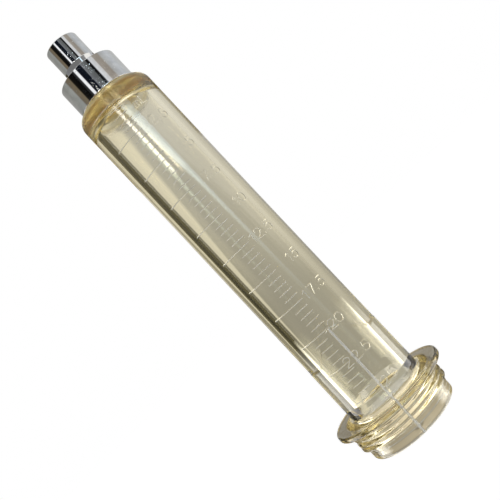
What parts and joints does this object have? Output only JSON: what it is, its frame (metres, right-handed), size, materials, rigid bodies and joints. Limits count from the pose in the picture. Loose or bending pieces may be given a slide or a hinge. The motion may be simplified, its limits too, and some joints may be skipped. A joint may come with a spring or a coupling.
{
  "type": "fuel sampler barrel",
  "caption": "Clear graduated barrel with a flanged, threaded open mouth and a chromed two-step nozzle with a swivelling lock collar that unscrews from the closed end.",
  "frame": {"origin": "centre of the barrel's open mouth, on the flat ring that the part stands on", "axes": "+Z along the barrel's axis to the nozzle, -Y to the side with the moulded volume scale"},
  "size_m": [0.037, 0.037, 0.1434],
  "materials": {
    "clear_polymer": "clear straw-tinted hard polymer, glossy as moulded",
    "chrome": "bright polished chrome plate with fine handling marks",
    "turned_steel": "fine turned steel",
    "seal_rubber": "matt black rubber washer"
  },
  "bodies": {
    "barrel": {"barrel": "clear_polymer"},
    "seal": {"nozzle_seal": "seal_rubber"},
    "hub": {"nozzle_hub": "chrome", "luer_cone": "turned_steel"},
    "collar": {"lock_collar": "chrome"}
  },
  "joints": [
    {"name": "nozzle_lift", "type": "slide", "parent": "barrel", "child": "seal", "axis": [0, 0, 1], "range_m": [0, 0.004]},
    {"name": "nozzle_turn", "type": "hinge", "parent": "seal", "child": "hub", "pos_m": [0, 0, 0.1284], "axis": [0, 0, 1], "range_deg": [0, 1440]},
    {"name": "collar_swivel", "type": "hinge", "parent": "hub", "child": "collar", "pos_m": [0, 0, 0.138], "axis": [0, 0, 1], "continuous": true}
  ],
  "couplings": [
    {"joint": "nozzle_lift", "follows": "nozzle_turn", "m_per_rad": 0.00015915}
  ]
}
